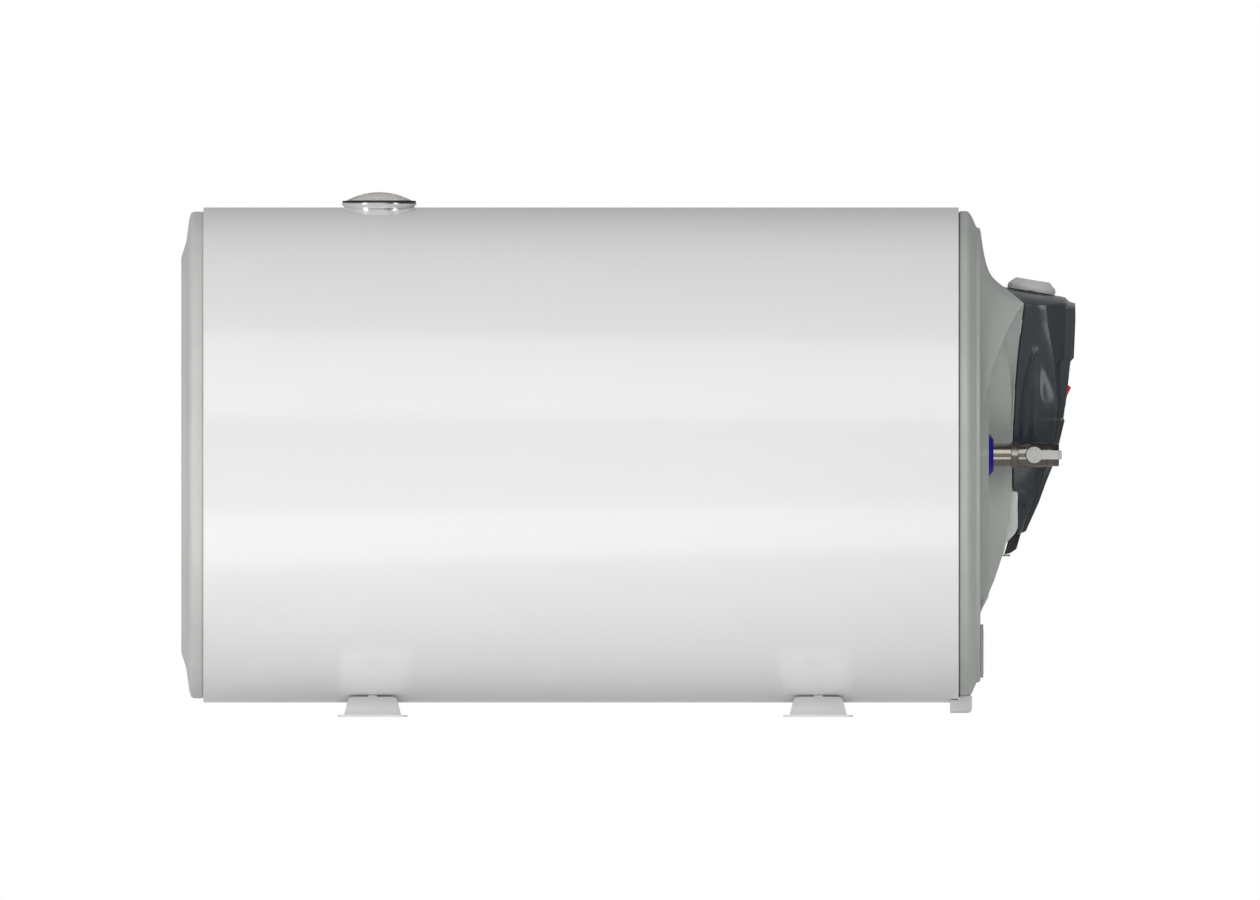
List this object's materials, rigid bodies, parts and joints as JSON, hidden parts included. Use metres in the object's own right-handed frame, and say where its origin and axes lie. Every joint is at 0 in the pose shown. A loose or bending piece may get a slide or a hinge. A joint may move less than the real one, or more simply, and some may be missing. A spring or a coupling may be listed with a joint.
{
  "type": "tank water heater",
  "caption": "Horizontal cylindrical electric storage water heater with a flared connection cap, control hood, dial thermometer, shut-off valve and two wall brackets.",
  "frame": {"origin": "centre of the four bracket slots, on the plane that the brackets are screwed to", "axes": "+X along the tank towards the connection end, +Z away from the mounting plane, -Y the side of the cold inlet and its valve"},
  "size_m": [0.8128, 0.45, 0.4769],
  "materials": {
    "jacket_paint": "white baked enamel, glossy",
    "plain_cap_plastic": "light grey moulded, satin",
    "service_cap_plastic": "mid grey moulded, satin",
    "hood_plastic": "dark grey moulded, semi-gloss",
    "base_plastic": "light grey moulded, satin",
    "knob_plastic": "light grey moulded, satin",
    "rocker_red": "red moulded, glossy",
    "black_plastic": "black moulded",
    "inner_plastic": "ivory moulded",
    "white_seal": "white sealing plastic",
    "cold_blue": "blue moulded",
    "hot_red": "red moulded",
    "nickel": "nickel plated, brushed",
    "pipe_metal": "plated pipe, turned",
    "lever_grey": "light grey cast, satin",
    "tank_steel": "enamelled sheet steel",
    "steel": "zinc plated",
    "bracket_paint": "white painted pressed steel",
    "rubber_black": "moulded seal",
    "copper": "copper sheath",
    "anode_metal": "cast magnesium alloy, dull",
    "foam": "sprayed rigid foam",
    "bezel_metal": "polished",
    "dial_print": "white dial, printed scale",
    "lens_clear": "clear domed lens",
    "lead_insulation": "brown lead insulation",
    "plate_grey": "satin plate"
  },
  "bodies": {
    "heater": {"jacket": "jacket_paint", "plain_end_cap": "plain_cap_plastic", "connection_cap": "service_cap_plastic", "insulation_foam": "foam", "tank_barrel": "tank_steel", "tank_plain_head": "tank_steel", "tank_service_head": "tank_steel", "flange_neck": "tank_steel", "flange_studs": "steel", "flange_gasket": "rubber_black", "flange_plate": "steel", "flange_nuts": "steel", "heating_element": "copper", "element_terminals": "nickel", "anode_rod": "anode_metal", "anode_nut": "steel", "thermostat_pocket": "copper", "thermostat_bulb": "copper", "thermostat_capillary": "copper", "safety_cutout": "inner_plastic", "cold_pipe": "pipe_metal", "cold_diffuser": "white_seal", "cold_collar": "cold_blue", "hot_pipe": "pipe_metal", "hot_dip_tube": "white_seal", "hot_collar": "hot_red", "valve_union_nut": "nickel", "valve_washer": "rubber_black", "valve_body": "nickel", "valve_end": "nickel", "valve_seats": "white_seal", "hood_base": "base_plastic", "control_hood": "hood_plastic", "hood_screws": "steel", "thermostat_body": "inner_plastic", "switch_body": "black_plastic", "terminal_block": "inner_plastic", "internal_wires": "lead_insulation", "cable_gland": "black_plastic", "gland_pin": "steel", "thermometer_cup": "steel", "thermometer_bezel": "bezel_metal", "thermometer_gasket": "rubber_black", "dial_face": "dial_print", "thermometer_lens": "lens_clear", "wall_bracket_left": "bracket_paint", "wall_bracket_right": "bracket_paint", "bracket_bosses": "tank_steel", "bracket_bolts": "steel", "wall_spacer": "base_plastic", "rating_plate": "plate_grey"},
    "thermostat_knob": {"thermostat_knob": "knob_plastic", "thermostat_spindle": "steel"},
    "power_rocker": {"switch_rocker": "rocker_red"},
    "valve_lever": {"valve_lever": "lever_grey", "valve_stem": "nickel", "valve_ball": "bezel_metal"},
    "thermometer_needle": {"dial_needle": "rocker_red"},
    "reset_button": {"reset_button": "rocker_red"}
  },
  "joints": [
    {"name": "knob_turn", "type": "hinge", "parent": "heater", "child": "thermostat_knob", "pos_m": [0.39602, 0, 0.38673], "axis": [0.1633, 0, 0.9866], "range_deg": [0, 270]},
    {"name": "rocker_tilt", "type": "hinge", "parent": "heater", "child": "power_rocker", "pos_m": [0.42512, 0, 0.29287], "axis": [0, -1, 0], "range_deg": [0, 18]},
    {"name": "lever_turn", "type": "hinge", "parent": "heater", "child": "valve_lever", "pos_m": [0.399, -0.1, 0.238], "axis": [0, 1, 0], "range_deg": [-90, 0]},
    {"name": "needle_turn", "type": "hinge", "parent": "heater", "child": "thermometer_needle", "pos_m": [-0.1965, 0, 0.463], "axis": [0, 0, -1], "range_deg": [0, 240]},
    {"name": "reset_press", "type": "slide", "parent": "heater", "child": "reset_button", "axis": [-1, 0, 0], "range_m": [0, 0.0015], "stiffness_N_per_m": 600}
  ]
}
